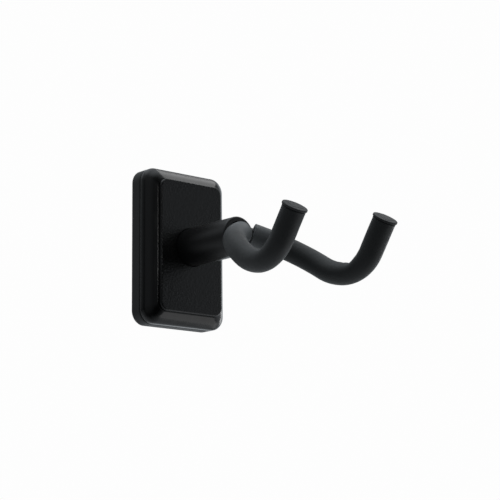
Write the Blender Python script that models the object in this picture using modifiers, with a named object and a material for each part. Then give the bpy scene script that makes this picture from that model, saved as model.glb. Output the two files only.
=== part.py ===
"""Wall guitar hanger: a wall plate behind a snap-on moulded cover, a round post, and a swivelling
padded yoke.

Metres, +Z up. The wall is the plane Y = 0 and everything stands out towards -Y.
The origin is the centre of the face that meets the wall. The yoke swivels about the post's axis,
which is the Y axis, and the cover slides forward along the post to uncover the wall screws.
"""

import math

import bmesh
import bpy
from mathutils import Matrix, Vector

# ---- driving sizes -------------------------------------------------------------------------------
PLATE_WIDTH = 0.0644  # over the moulded back frame and cover
PLATE_HEIGHT = 0.100
CORNER_RADIUS = 0.0090
CORNER_TIGHTEN = 0.45  # how fast the corner radius falls as a loop moves inwards
SMALLEST_CORNER = 0.0012
MOULDING_CHAMFER = 0.0006
FRAME_DEPTH = 0.0082
COVER_SIDE_DEPTH = 0.0038
BEVEL_INSET = 0.0073
BEVEL_DEPTH = 0.0056
BEVEL_CROWN = 0.00034  # how far the bevel bulges at its middle
COVER_SHOULDER_RADIUS = 0.0018
PANEL_RAISE = 0.0024
PANEL_EDGE_RADIUS = 0.0007
FRAME_WALL = 0.0024
FRAME_LEDGE_WIDTH = 0.0106
FRAME_LEDGE_THICKNESS = 0.0020
COVER_WALL = 0.0019
COVER_LIP_WALL = 0.0013
COVER_LIP_REACH = 0.0022
STEEL_PLATE_THICKNESS = 0.0030
POST_REACH = 0.0669  # wall to the post's front face
POST_WALL = 0.0031
POST_EDGE_RADIUS = 0.0018
WELD_LEG = 0.0028
PLUG_LENGTH = 0.0150
PLUG_COUNTERBORE_DEPTH = 0.0034
STUD_RADIUS = 0.0040
STUD_COLLAR_WIDTH = 0.0016
STUD_COLLAR_THICKNESS = 0.0014
STUD_TAIL = 0.0026  # thread standing past the nut
STUD_CHAMFER = 0.0008
BUSH_WALL = 0.0012
BUSH_FLANGE_WIDTH = 0.0017
BUSH_FLANGE_THICKNESS = 0.0012
FLAT_WASHER_THICKNESS = 0.0016
WASHER_MARGIN = 0.0005  # past the nut's corners
WASHER_CLEARANCE = 0.0010  # washers in the post's bore
SPRING_WASHER_THICKNESS = 0.0009
SPRING_WASHER_RISE = 0.0007
NUT_PER_STUD = 3.25  # a standard nut's width across flats over its thread's radius
NUT_THICKNESS = 0.0080
NUT_COLLAR_WALL = 0.0012
NUT_COLLAR_DEPTH = 0.0020
ROD_RADIUS = 0.0040
FOAM_THICKNESS = 0.0032  # sleeve's outside to the rod's
SLEEVE_NEST = 0.0027  # how far the sleeves' corners tuck in behind their centre lines at the post
YOKE_APEX_LIFT = 0.0015
YOKE_APEX_BEND = 0.0070
YOKE_PITCH = math.radians(33.5)  # the yoke's plane slopes down and away from the wall
ARM_START_ANGLE = math.radians(33.7)  # from straight sideways, towards the front
ARM_END_ANGLE = math.radians(81.8)
ARM_STRAIGHT = 0.0068
ARM_BEND = 0.0584
TIP_SWEEP_BEND = 0.0345  # the tip starts to rise in a wide bend, then turns up in a tighter one
TIP_SWEEP_TURN = math.radians(27.0)
TIP_BEND = 0.0237
TIP_BEND_TURN = math.radians(62.2)
TIP_STRAIGHT_LEFT = 0.0175
TIP_STRAIGHT_RIGHT = 0.0204
CAP_RIM = 0.0005  # the cap's edge past the sleeve
CAP_THICKNESS = 0.0017
CAP_EDGE = 0.0005
CAP_DOME = 0.0002
CAP_STEM_LENGTH = 0.0085
CAP_STEM_GAP = 0.0004  # cap stem in the sleeve's bore
CAP_STEM_CHAMFER = 0.0008
WALL_WASHER_MARGIN = 0.0018  # washer to the frame's ledge
WALL_SCREW_RADIUS = 0.0023
WALL_SCREW_LENGTH = 0.0320
WALL_SCREW_POINT = 0.0055
WALL_SCREW_HEAD_RADIUS = 0.0044
WALL_SCREW_HEAD_HEIGHT = 0.0028
WALL_SCREW_HEAD_RIM = 0.0008
WALL_WASHER_RADIUS = 0.0062
WALL_WASHER_THICKNESS = 0.0012
FRAME_SCREW_RADIUS = 0.0014
FRAME_SCREW_HEAD_RADIUS = 0.0026
FRAME_SCREW_HEAD_HEIGHT = 0.0016
FRAME_SCREW_HEAD_EDGE = 0.0008
PEG_RADIUS = 0.0015
PEG_LENGTH = 0.0030
PEG_SIDE_MARGIN = 0.0060  # peg to the panel's side edge
PEG_END_MARGIN = 0.0070  # peg to the panel's top or bottom edge

# ---- clearances ----------------------------------------------------------------------------------
REST_GAP = 0.0003  # between pieces that sit on each other
RUNNING_GAP = 0.00008  # stud in bush, on the radius
SLIDE_GAP = 0.0005  # cover round the post
HOLE_GAP = 0.0004  # screws in their holes
FRAME_SCREW_CLEARANCE = 0.0006  # frame screws' heads to the cover's lip
CUT_PAST = 0.002  # how far a cutter runs past what it cuts
POINT_GAP = 0.0002  # least distance between two points on the rod's centre line

# ---- derived places, as distances out from the wall ----------------------------------------------
STUD_COLLAR_RADIUS = STUD_RADIUS + STUD_COLLAR_WIDTH
NUT_ACROSS_FLATS = NUT_PER_STUD * STUD_RADIUS
NUT_CORNER = NUT_ACROSS_FLATS / math.sqrt(3)
WASHER_RADIUS = NUT_CORNER + WASHER_MARGIN
POST_BORE = WASHER_RADIUS + WASHER_CLEARANCE
POST_RADIUS = POST_BORE + POST_WALL
SLEEVE_RADIUS = ROD_RADIUS + FOAM_THICKNESS
COVER_BACK = FRAME_DEPTH + REST_GAP
COVER_SIDE_FRONT = COVER_BACK + COVER_SIDE_DEPTH
COVER_FRONT = COVER_SIDE_FRONT + BEVEL_DEPTH
PANEL_BACK = COVER_FRONT + REST_GAP
PANEL_FRONT = PANEL_BACK + PANEL_RAISE
POST_BACK = STEEL_PLATE_THICKNESS + REST_GAP
PLUG_FRONT = POST_REACH - REST_GAP
PLUG_BACK = PLUG_FRONT - PLUG_LENGTH
PLUG_RADIUS = POST_BORE - REST_GAP
BUSH_BORE = STUD_RADIUS + RUNNING_GAP
BUSH_RADIUS = BUSH_BORE + BUSH_WALL
BUSH_FLANGE_RADIUS = BUSH_RADIUS + BUSH_FLANGE_WIDTH
PLUG_BORE = BUSH_RADIUS + REST_GAP
COUNTERBORE = BUSH_FLANGE_RADIUS + REST_GAP
BUSH_FLANGE_BACK = PLUG_FRONT - PLUG_COUNTERBORE_DEPTH + REST_GAP
BUSH_FLANGE_FRONT = BUSH_FLANGE_BACK + BUSH_FLANGE_THICKNESS
COLLAR_BACK = BUSH_FLANGE_FRONT + REST_GAP
COLLAR_FRONT = COLLAR_BACK + STUD_COLLAR_THICKNESS
FLAT_WASHER_FRONT = PLUG_BACK - REST_GAP
SPRING_WASHER_FRONT = FLAT_WASHER_FRONT - FLAT_WASHER_THICKNESS - REST_GAP
NUT_FRONT = SPRING_WASHER_FRONT - SPRING_WASHER_THICKNESS - SPRING_WASHER_RISE - REST_GAP
NUT_BACK = NUT_FRONT - NUT_THICKNESS
STUD_BACK = NUT_BACK - STUD_TAIL
SCREW_SEAT = STEEL_PLATE_THICKNESS + REST_GAP
LEDGE_BACK = STEEL_PLATE_THICKNESS + REST_GAP
LEDGE_FRONT = LEDGE_BACK + FRAME_LEDGE_THICKNESS
LEDGE_INSET = FRAME_WALL + FRAME_LEDGE_WIDTH
PLATE_INSET = FRAME_WALL + REST_GAP
LIP_OUTSIDE_INSET = FRAME_WALL + REST_GAP
LIP_INSIDE_INSET = LIP_OUTSIDE_INSET + COVER_LIP_WALL
WALL_SCREW_SPACING = PLATE_HEIGHT - 2 * (LEDGE_INSET + WALL_WASHER_RADIUS + WALL_WASHER_MARGIN)
PEG_X = PLATE_WIDTH / 2 - BEVEL_INSET - PEG_SIDE_MARGIN
PEG_Z = PLATE_HEIGHT / 2 - BEVEL_INSET - PEG_END_MARGIN
CAP_GAP = REST_GAP
CAP_RADIUS = SLEEVE_RADIUS + CAP_RIM
CAP_STEM_RADIUS = ROD_RADIUS + REST_GAP - CAP_STEM_GAP
YOKE_APEX_REACH = POST_REACH + SLEEVE_RADIUS - SLEEVE_NEST
# Along the arm from the apex: where the two sleeves' cut ends all but meet inside the V.
SLEEVE_START = SLEEVE_RADIUS * math.tan(ARM_START_ANGLE) + REST_GAP

# ---- fineness of the curved shapes ---------------------------------------------------------------
ROUND_STEPS = 40
SMALL_ROUND_STEPS = 24
CORNER_STEPS = 6
SLEEVE_RESOLUTION = 8
ROD_RESOLUTION = 5

STEEL_BLACK = ((0.018, 0.019, 0.020), 0.42, 0.6)
STEEL_ZINC = ((0.60, 0.60, 0.58), 0.35, 1.0)
PLASTIC_SMOOTH = ((0.020, 0.021, 0.022), 0.30, 0.0)
PLASTIC_SATIN = ((0.026, 0.027, 0.028), 0.45, 0.0)
PLASTIC_FRAME = ((0.030, 0.031, 0.033), 0.60, 0.0)
NYLON_WHITE = ((0.78, 0.77, 0.72), 0.50, 0.0)
FOAM_BLACK = ((0.035, 0.037, 0.037), 0.85, 0.0)
CAP_RUBBER = ((0.045, 0.047, 0.047), 0.55, 0.0)


def clear_scene():
    for obj in list(bpy.data.objects):
        bpy.data.objects.remove(obj, do_unlink=True)


def new_collection(name):
    collection = bpy.data.collections.new(name)
    bpy.context.scene.collection.children.link(collection)
    return collection


def new_material(name, look):
    colour, roughness, metallic = look
    material = bpy.data.materials.new(name)
    material.use_nodes = True
    shader = material.node_tree.nodes["Principled BSDF"]
    shader.inputs["Base Color"].default_value = (*colour, 1.0)
    shader.inputs["Roughness"].default_value = roughness
    shader.inputs["Metallic"].default_value = metallic
    return material


def link_mesh(name, bm, collection):
    mesh = bpy.data.meshes.new(name)
    bm.to_mesh(mesh)
    bm.free()
    obj = bpy.data.objects.new(name, mesh)
    collection.objects.link(obj)
    return obj


def finish(obj, look, parent):
    """Gives a piece its material, its smooth shading with sharp edges kept, and its moving group."""
    obj.data.materials.append(new_material(obj.name + "_surface", look))
    if obj.type == "MESH":
        obj.data.shade_smooth()
        obj.data.set_sharp_from_angle(angle=math.radians(35))
    obj.parent = parent
    return obj


def out_from_wall():
    """Turns a shape built about +Z so that its +Z points out from the wall, along -Y."""
    return Matrix.Rotation(math.radians(90), 4, "X")


# ---- general shapes ------------------------------------------------------------------------------
def turned(name, profile, collection, steps=ROUND_STEPS, centre=(0.0, 0.0)):
    """A body turned about the post's direction. The profile holds (radius, distance from the wall), running
    from the front down its outer side to the back; a ring's profile goes on up its bore."""
    bm = bmesh.new()
    verts = [bm.verts.new((radius, 0.0, reach)) for radius, reach in profile]
    for first, second in zip(verts, verts[1:]):
        bm.edges.new((first, second))
    if min(radius for radius, _ in profile) > 0.0:
        bm.edges.new((verts[-1], verts[0]))
    obj = link_mesh(name, bm, collection)
    screw = obj.modifiers.new("turn", "SCREW")
    screw.steps = steps
    screw.render_steps = steps
    screw.use_merge_vertices = True
    screw.merge_threshold = 0.00001
    obj.matrix_world = Matrix.Translation((centre[0], 0.0, centre[1])) @ out_from_wall()
    return obj


def corner_radius(inset):
    return max(CORNER_RADIUS - CORNER_TIGHTEN * inset, SMALLEST_CORNER)


def rounded_outline(inset):
    """(x, z) points round a rectangle with rounded corners, this far in from the cover's outline."""
    half_width = PLATE_WIDTH / 2 - inset
    half_height = PLATE_HEIGHT / 2 - inset
    radius = corner_radius(inset)
    points = []
    for quarter, (side_x, side_z) in enumerate(((1, 1), (-1, 1), (-1, -1), (1, -1))):
        for step in range(CORNER_STEPS + 1):
            angle = math.radians(90 * (quarter + step / CORNER_STEPS))
            x = side_x * (half_width - radius) + radius * math.cos(angle)
            z = side_z * (half_height - radius) + radius * math.sin(angle)
            points.append((x, z))
    return points


def lofted(name, levels, collection, closed):
    """Rounded rectangles at (inset, distance from the wall), skinned one to the next. A closed loft is
    a ring, joined last to first; an open one has flat faces over its first and last rectangles."""
    bm = bmesh.new()
    loops = []
    for inset, reach in levels:
        loops.append([bm.verts.new((x, -reach, z)) for x, z in rounded_outline(inset)])
    pairs = list(zip(loops, loops[1:]))
    if closed:
        pairs.append((loops[-1], loops[0]))
    else:
        bm.faces.new(loops[0])
        bm.faces.new(loops[-1])
    for near, far in pairs:
        for corner in range(len(near)):
            bm.faces.new((near[corner - 1], near[corner], far[corner], far[corner - 1]))
    bmesh.ops.recalc_face_normals(bm, faces=bm.faces)
    return link_mesh(name, bm, collection)


def cylinder(name, radius, back, front, centre, collection, steps=SMALL_ROUND_STEPS):
    return turned(
        name,
        [(0.0, front), (radius, front), (radius, back), (0.0, back)],
        collection,
        steps,
        centre,
    )


def cut_with(obj, cutter, operation="DIFFERENCE"):
    boolean = obj.modifiers.new(cutter.name, "BOOLEAN")
    boolean.operation = operation
    boolean.solver = "EXACT"
    boolean.object = cutter


def hide_cutter(obj):
    obj.hide_render = True
    obj.display_type = "WIRE"
    return obj


def hole(obj, radius, back, front, centre, cutters, steps=SMALL_ROUND_STEPS):
    name = f"{obj.name}_hole_{len(obj.modifiers)}"
    cutter = cylinder(name, radius, back - CUT_PAST, front + CUT_PAST, centre, cutters, steps)
    cut_with(obj, hide_cutter(cutter))


def swept(name, points, radius, resolution, collection):
    """A round bar along the points, as a mesh with flat ends."""
    curve = bpy.data.curves.new(name, "CURVE")
    curve.dimensions = "3D"
    curve.bevel_depth = radius
    curve.bevel_resolution = resolution
    curve.use_fill_caps = True
    spline = curve.splines.new("POLY")
    spline.points.add(len(points) - 1)
    for point, place in zip(spline.points, points):
        point.co = (*place, 1.0)
    path = bpy.data.objects.new(name + "_path", curve)
    collection.objects.link(path)
    graph = bpy.context.evaluated_depsgraph_get()
    mesh = bpy.data.meshes.new_from_object(path.evaluated_get(graph))
    bpy.data.objects.remove(path, do_unlink=True)
    bm = bmesh.new()
    bm.from_mesh(mesh)
    bpy.data.meshes.remove(mesh)
    bmesh.ops.remove_doubles(bm, verts=bm.verts, dist=0.00001)
    bmesh.ops.recalc_face_normals(bm, faces=bm.faces)
    return link_mesh(name, bm, collection)


# ---- the arms' centre line -----------------------------------------------------------------------
def arm_points(side, tip_straight):
    """The centre line of one arm from the apex to the sleeve's end, with the distance along it at each
    point."""
    across = Vector((1.0, 0.0, 0.0))
    forward = Vector((0.0, -math.cos(YOKE_PITCH), -math.sin(YOKE_PITCH)))
    upward = Vector((0.0, -math.sin(YOKE_PITCH), math.cos(YOKE_PITCH)))

    def heading(angle):
        return math.cos(angle) * across + math.sin(angle) * forward

    points = [Vector((0.0, -YOKE_APEX_REACH, YOKE_APEX_LIFT))]
    along = [0.0]

    def go(direction, length):
        points.append(points[-1] + direction * length)
        along.append(along[-1] + length)

    for _ in range(2):
        go(heading(ARM_START_ANGLE), ARM_STRAIGHT / 2)
    steps = 12
    turn = (ARM_END_ANGLE - ARM_START_ANGLE) / steps
    for step in range(steps):
        go(heading(ARM_START_ANGLE + turn * (step + 0.5)), ARM_BEND * turn)
    last = heading(ARM_END_ANGLE)
    turned = 0.0
    for bend, whole_turn, steps in ((TIP_SWEEP_BEND, TIP_SWEEP_TURN, 5), (TIP_BEND, TIP_BEND_TURN, 10)):
        turn = whole_turn / steps
        for _ in range(steps):
            angle = turned + turn / 2
            go(math.cos(angle) * last + math.sin(angle) * upward, bend * turn)
            turned += turn
    tip = math.cos(turned) * last + math.sin(turned) * upward
    for _ in range(2):
        go(tip, tip_straight / 2)
    return [Vector((side * point.x, point.y, point.z)) for point in points], along


def part_of_arm(points, along, start, end):
    """The stretch of the centre line between two distances along it."""
    kept = []
    for (near, far), (low, high) in zip(zip(points, points[1:]), zip(along, along[1:])):
        if high <= start or low >= end:
            continue
        if not kept:
            kept.append(near.lerp(far, max(start - low, 0.0) / (high - low)))
        kept.append(near.lerp(far, (min(end, high) - low) / (high - low)))
    return kept


def apex_points(left, right):
    """The rounded V where the rod turns from one arm to the other."""
    half_turn = ARM_START_ANGLE
    reach = YOKE_APEX_BEND * math.tan(half_turn)
    apex = left[0]
    start = apex + (left[1] - apex).normalized() * reach
    end = apex + (right[1] - apex).normalized() * reach
    inward = ((start + end) / 2 - apex).normalized()
    centre = apex + inward * (YOKE_APEX_BEND / math.cos(half_turn))
    points = []
    steps = 8
    for step in range(steps + 1):
        angle = -half_turn + 2 * half_turn * step / steps
        sideways = (end - start).normalized()
        points.append(centre + YOKE_APEX_BEND * (math.sin(angle) * sideways - math.cos(angle) * inward))
    return points, reach


# ---- pieces fixed to the wall --------------------------------------------------------------------
def wall_plate(parts, cutters, group):
    levels = [(PLATE_INSET, 0.0), (PLATE_INSET, STEEL_PLATE_THICKNESS)]
    plate = lofted("wall_plate", levels, parts, closed=False)
    thickness = STEEL_PLATE_THICKNESS
    for side in (1, -1):
        centre = (0.0, side * WALL_SCREW_SPACING / 2)
        hole(plate, WALL_SCREW_RADIUS + HOLE_GAP, 0.0, thickness, centre, cutters)
    for centre in frame_screw_centres().values():
        hole(plate, FRAME_SCREW_RADIUS + HOLE_GAP, 0.0, thickness, centre, cutters)
    return finish(plate, STEEL_ZINC, group)


def frame_screw_centres():
    """Near the plate's corners, as far out as the heads clear the rounded corners of the cover's lip."""
    radius = corner_radius(LIP_INSIDE_INSET)
    outward = (radius - FRAME_SCREW_HEAD_RADIUS - FRAME_SCREW_CLEARANCE) / math.sqrt(2)
    x = PLATE_WIDTH / 2 - LIP_INSIDE_INSET - radius + outward
    z = PLATE_HEIGHT / 2 - LIP_INSIDE_INSET - radius + outward
    return {
        "upper_left": (-x, z),
        "upper_right": (x, z),
        "lower_left": (-x, -z),
        "lower_right": (x, -z),
    }


def back_frame(parts, cutters, group):
    levels = [
        (0.0, 0.0),
        (0.0, FRAME_DEPTH - MOULDING_CHAMFER),
        (MOULDING_CHAMFER, FRAME_DEPTH),
        (FRAME_WALL, FRAME_DEPTH),
        (FRAME_WALL, LEDGE_FRONT),
        (LEDGE_INSET, LEDGE_FRONT),
        (LEDGE_INSET, LEDGE_BACK),
        (FRAME_WALL, LEDGE_BACK),
        (FRAME_WALL, 0.0),
    ]
    frame = lofted("back_frame", levels, parts, closed=True)
    for centre in frame_screw_centres().values():
        hole(frame, FRAME_SCREW_RADIUS + HOLE_GAP, LEDGE_BACK, LEDGE_FRONT, centre, cutters)
    return finish(frame, PLASTIC_FRAME, group)


def frame_screws(parts, group):
    """Four small screws that hold the moulded frame to the steel plate."""
    seat = LEDGE_FRONT + REST_GAP
    top = seat + FRAME_SCREW_HEAD_HEIGHT
    profile = [
        (0.0, top),
        (FRAME_SCREW_HEAD_RADIUS - FRAME_SCREW_HEAD_EDGE, top),
        (FRAME_SCREW_HEAD_RADIUS, top - FRAME_SCREW_HEAD_EDGE),
        (FRAME_SCREW_HEAD_RADIUS, seat),
        (FRAME_SCREW_RADIUS, seat),
        (FRAME_SCREW_RADIUS, REST_GAP),
        (0.0, REST_GAP),
    ]
    for place, centre in frame_screw_centres().items():
        screw = turned("frame_screw_" + place, profile, parts, 16, centre)
        finish(screw, STEEL_ZINC, group)


def wall_screws(parts, group):
    """Two pan-head screws into the wall, each on a flat washer."""
    washer_front = SCREW_SEAT + WALL_WASHER_THICKNESS
    seat = washer_front + REST_GAP
    rim = seat + WALL_SCREW_HEAD_RIM
    crown = WALL_SCREW_HEAD_HEIGHT - WALL_SCREW_HEAD_RIM
    point = seat - WALL_SCREW_LENGTH
    head = []
    for step in range(5):
        angle = math.radians(90 * step / 4)
        head.append((WALL_SCREW_HEAD_RADIUS * math.sin(angle), rim + crown * math.cos(angle)))
    shank = [
        (WALL_SCREW_HEAD_RADIUS, seat),
        (WALL_SCREW_RADIUS, seat),
        (WALL_SCREW_RADIUS, point + WALL_SCREW_POINT),
        (0.0, point),
    ]
    bore = WALL_SCREW_RADIUS + HOLE_GAP
    washer = [
        (bore, washer_front),
        (WALL_WASHER_RADIUS, washer_front),
        (WALL_WASHER_RADIUS, SCREW_SEAT),
        (bore, SCREW_SEAT),
    ]
    for place, side in (("upper", 1), ("lower", -1)):
        centre = (0.0, side * WALL_SCREW_SPACING / 2)
        screw = turned("wall_screw_" + place, head + shank, parts, SMALL_ROUND_STEPS, centre)
        finish(screw, STEEL_ZINC, group)
        ring = turned("wall_washer_" + place, washer, parts, SMALL_ROUND_STEPS, centre)
        finish(ring, STEEL_ZINC, group)


def post_tube(parts, group):
    rounding = []
    for step in range(5):
        angle = math.radians(90 * step / 4)
        radius = POST_RADIUS - POST_EDGE_RADIUS * (1 - math.sin(angle))
        reach = POST_REACH - POST_EDGE_RADIUS * (1 - math.cos(angle))
        rounding.append((radius, reach))
    profile = [(POST_BORE, POST_REACH)] + rounding
    profile += [
        (POST_RADIUS, POST_BACK + WELD_LEG),
        (POST_RADIUS + WELD_LEG, POST_BACK),
        (POST_BORE, POST_BACK),
    ]
    return finish(turned("post_tube", profile, parts), STEEL_BLACK, group)


def front_plug(parts, group):
    """The steel plug fixed in the front of the post, bored for the pivot bush."""
    seat = PLUG_FRONT - PLUG_COUNTERBORE_DEPTH
    profile = [
        (COUNTERBORE, PLUG_FRONT),
        (PLUG_RADIUS, PLUG_FRONT),
        (PLUG_RADIUS, PLUG_BACK),
        (PLUG_BORE, PLUG_BACK),
        (PLUG_BORE, seat),
        (COUNTERBORE, seat),
    ]
    return finish(turned("front_plug", profile, parts), STEEL_BLACK, group)


def pivot_bush(parts, group):
    back = PLUG_BACK + REST_GAP
    profile = [
        (BUSH_BORE, BUSH_FLANGE_FRONT),
        (BUSH_FLANGE_RADIUS, BUSH_FLANGE_FRONT),
        (BUSH_FLANGE_RADIUS, BUSH_FLANGE_BACK),
        (BUSH_RADIUS, BUSH_FLANGE_BACK),
        (BUSH_RADIUS, back),
        (BUSH_BORE, back),
    ]
    return finish(turned("pivot_bush", profile, parts), NYLON_WHITE, group)


# ---- the sliding cover ---------------------------------------------------------------------------
def bevel_levels():
    """(inset, reach) up the cover's outside, from its back edge to the flat that carries the panel."""
    shoulder = COVER_SIDE_FRONT - COVER_SHOULDER_RADIUS
    levels = [
        (MOULDING_CHAMFER, COVER_BACK),
        (0.0, COVER_BACK + MOULDING_CHAMFER),
        (0.0, shoulder),
    ]
    slope = math.atan2(BEVEL_DEPTH, BEVEL_INSET)
    for step in range(1, 5):
        angle = (math.pi / 2 - slope) * step / 4
        inset = COVER_SHOULDER_RADIUS * (1 - math.cos(angle))
        levels.append((inset, shoulder + COVER_SHOULDER_RADIUS * math.sin(angle)))
    levels.append((BEVEL_INSET / 2, COVER_SIDE_FRONT + BEVEL_DEPTH / 2 + BEVEL_CROWN))
    levels.append((BEVEL_INSET, COVER_FRONT))
    return levels


def cover_shell(parts, cutters, group):
    lip_back = COVER_BACK - COVER_LIP_REACH
    inside = [
        (BEVEL_INSET + COVER_WALL, COVER_FRONT - COVER_WALL),
        (LIP_INSIDE_INSET, COVER_SIDE_FRONT - COVER_WALL / 2),
        (LIP_INSIDE_INSET, lip_back),
    ]
    outside = [(LIP_OUTSIDE_INSET, lip_back), (LIP_OUTSIDE_INSET, COVER_BACK)] + bevel_levels()
    shell = lofted("cover_shell", inside + outside, parts, closed=False)
    back = COVER_FRONT - COVER_WALL
    hole(shell, POST_RADIUS + SLIDE_GAP, back, COVER_FRONT, (0.0, 0.0), cutters, ROUND_STEPS)
    for centre in peg_centres():
        hole(shell, PEG_RADIUS + HOLE_GAP, back, COVER_FRONT, centre, cutters, 16)
    return finish(shell, PLASTIC_SMOOTH, group)


def peg_centres():
    return [(x * PEG_X, z * PEG_Z) for x in (-1, 1) for z in (-1, 1)]


def front_panel(parts, cutters, group):
    """The raised panel, a separate moulding with four pegs that press into the cover."""
    levels = [(BEVEL_INSET + REST_GAP, PANEL_BACK)]
    for step in range(4):
        angle = math.radians(90 * step / 3)
        inset = BEVEL_INSET + REST_GAP + PANEL_EDGE_RADIUS * (1 - math.cos(angle))
        levels.append((inset, PANEL_FRONT - PANEL_EDGE_RADIUS * (1 - math.sin(angle))))
    panel = lofted("front_panel", levels, parts, closed=False)
    for number, centre in enumerate(peg_centres()):
        back = PANEL_BACK - PEG_LENGTH
        peg = cylinder(f"panel_peg_{number}", PEG_RADIUS, back, PANEL_BACK + REST_GAP, centre, cutters, 16)
        cut_with(panel, hide_cutter(peg), "UNION")
    hole(panel, POST_RADIUS + SLIDE_GAP, PANEL_BACK, PANEL_FRONT, (0.0, 0.0), cutters, ROUND_STEPS)
    return finish(panel, PLASTIC_SATIN, group)


# ---- the swivelling yoke -------------------------------------------------------------------------
def yoke_rod(parts, group, left, right):
    bend, reach = apex_points(left[0], right[0])
    stem = CAP_STEM_LENGTH + REST_GAP
    points = []
    for arm in (left, right):
        line, along = arm
        stretch = part_of_arm(line, along, reach + POINT_GAP, along[-1] - stem)
        points.append(stretch)
    rod = swept("yoke_rod", points[0][::-1] + bend + points[1], ROD_RADIUS, ROD_RESOLUTION, parts)
    return finish(rod, STEEL_BLACK, group)


def rod_back():
    """How far out from the wall the bent rod's back surface is at the apex."""
    rounding = YOKE_APEX_BEND / math.cos(ARM_START_ANGLE) - YOKE_APEX_BEND
    return YOKE_APEX_REACH + rounding * math.cos(YOKE_PITCH) - ROD_RADIUS


def pivot_stud(parts, group):
    front = rod_back() - REST_GAP
    profile = [
        (0.0, front),
        (STUD_RADIUS, front),
        (STUD_RADIUS, COLLAR_FRONT),
        (STUD_COLLAR_RADIUS, COLLAR_FRONT),
        (STUD_COLLAR_RADIUS, COLLAR_BACK),
        (STUD_RADIUS, COLLAR_BACK),
        (STUD_RADIUS, STUD_BACK + STUD_CHAMFER),
        (STUD_RADIUS - STUD_CHAMFER, STUD_BACK),
        (0.0, STUD_BACK),
    ]
    return finish(turned("pivot_stud", profile, parts), STEEL_ZINC, group)


def pivot_washers(parts, group):
    bore = STUD_RADIUS + REST_GAP
    back = FLAT_WASHER_FRONT - FLAT_WASHER_THICKNESS
    flat = [
        (bore, FLAT_WASHER_FRONT),
        (WASHER_RADIUS, FLAT_WASHER_FRONT),
        (WASHER_RADIUS, back),
        (bore, back),
    ]
    finish(turned("flat_washer", flat, parts), STEEL_ZINC, group)
    rim = SPRING_WASHER_FRONT
    foot = rim - SPRING_WASHER_RISE
    coned = [
        (bore, foot),
        (WASHER_RADIUS, rim),
        (WASHER_RADIUS, rim - SPRING_WASHER_THICKNESS),
        (bore, foot - SPRING_WASHER_THICKNESS),
    ]
    finish(turned("spring_washer", coned, parts), STEEL_ZINC, group)


def lock_nut(parts, cutters, group):
    bore = STUD_RADIUS + REST_GAP
    collar = bore + NUT_COLLAR_WALL
    hex_back = NUT_BACK + NUT_COLLAR_DEPTH
    nut = cylinder("lock_nut", NUT_CORNER, hex_back, NUT_FRONT, (0.0, 0.0), parts, 6)
    ring = cylinder("lock_nut_collar", collar, NUT_BACK, (hex_back + NUT_FRONT) / 2, (0.0, 0.0), cutters)
    cut_with(nut, hide_cutter(ring), "UNION")
    hole(nut, bore, NUT_BACK, NUT_FRONT, (0.0, 0.0), cutters, ROUND_STEPS)
    return finish(nut, STEEL_ZINC, group)


def sleeve(side_name, arm, parts, cutters, group):
    """The foam sleeve over one arm, bored for the rod."""
    line, along = arm
    outside = part_of_arm(line, along, SLEEVE_START, along[-1])
    pad = swept(side_name + "_sleeve", outside, SLEEVE_RADIUS, SLEEVE_RESOLUTION, parts)
    first = outside[0] + (outside[0] - outside[1]).normalized() * CUT_PAST
    last = outside[-1] + (outside[-1] - outside[-2]).normalized() * CUT_PAST
    bore = swept(
        side_name + "_sleeve_bore",
        [first] + outside[1:-1] + [last],
        ROD_RADIUS + REST_GAP,
        ROD_RESOLUTION,
        cutters,
    )
    cut_with(pad, hide_cutter(bore))
    return finish(pad, FOAM_BLACK, group)


def end_cap(side_name, arm, parts, group):
    """A push-in cap: a thin round head just wider than the sleeve, on a stem that fills the sleeve's end."""
    line, _ = arm
    outward = (line[-1] - line[-2]).normalized()
    top = CAP_GAP + CAP_THICKNESS
    profile = [
        (0.0, top),
        (CAP_RADIUS - CAP_EDGE, top - CAP_DOME),
        (CAP_RADIUS, top - CAP_DOME - CAP_EDGE),
        (CAP_RADIUS, CAP_GAP),
        (CAP_STEM_RADIUS, CAP_GAP),
        (CAP_STEM_RADIUS, CAP_STEM_CHAMFER - CAP_STEM_LENGTH),
        (CAP_STEM_RADIUS - CAP_STEM_CHAMFER, -CAP_STEM_LENGTH),
        (0.0, -CAP_STEM_LENGTH),
    ]
    cap = turned(side_name + "_end_cap", profile, parts, SMALL_ROUND_STEPS)
    turn = outward.to_track_quat("Z", "Y").to_matrix().to_4x4()
    cap.matrix_world = Matrix.Translation(line[-1]) @ turn
    return finish(cap, CAP_RUBBER, group)


def group_empty(name, collection):
    """A moving group's handle, standing on the post's axis."""
    empty = bpy.data.objects.new(name, None)
    collection.objects.link(empty)
    return empty


def build():
    clear_scene()
    parts = new_collection("wall_guitar_hanger")
    cutters = new_collection("cutters")
    fixed = group_empty("wall_side", parts)
    cover = group_empty("cover_slide_axis", parts)
    yoke = group_empty("yoke_swivel_axis", parts)
    wall_plate(parts, cutters, fixed)
    back_frame(parts, cutters, fixed)
    frame_screws(parts, fixed)
    wall_screws(parts, fixed)
    post_tube(parts, fixed)
    front_plug(parts, fixed)
    pivot_bush(parts, fixed)
    cover_shell(parts, cutters, cover)
    front_panel(parts, cutters, cover)
    left = arm_points(-1, TIP_STRAIGHT_LEFT)
    right = arm_points(1, TIP_STRAIGHT_RIGHT)
    yoke_rod(parts, yoke, left, right)
    pivot_stud(parts, yoke)
    pivot_washers(parts, yoke)
    lock_nut(parts, cutters, yoke)
    for side_name, arm in (("left", left), ("right", right)):
        sleeve(side_name, arm, parts, cutters, yoke)
        end_cap(side_name, arm, parts, yoke)


build()
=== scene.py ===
"""The finished look of the wall guitar hanger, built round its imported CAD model.

Metres, +Z up. The wall is the plane Y = 0 and the hanger stands out from it towards -Y, so a
distance out from the wall, called reach here, is -Y.
"""

import math

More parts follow.
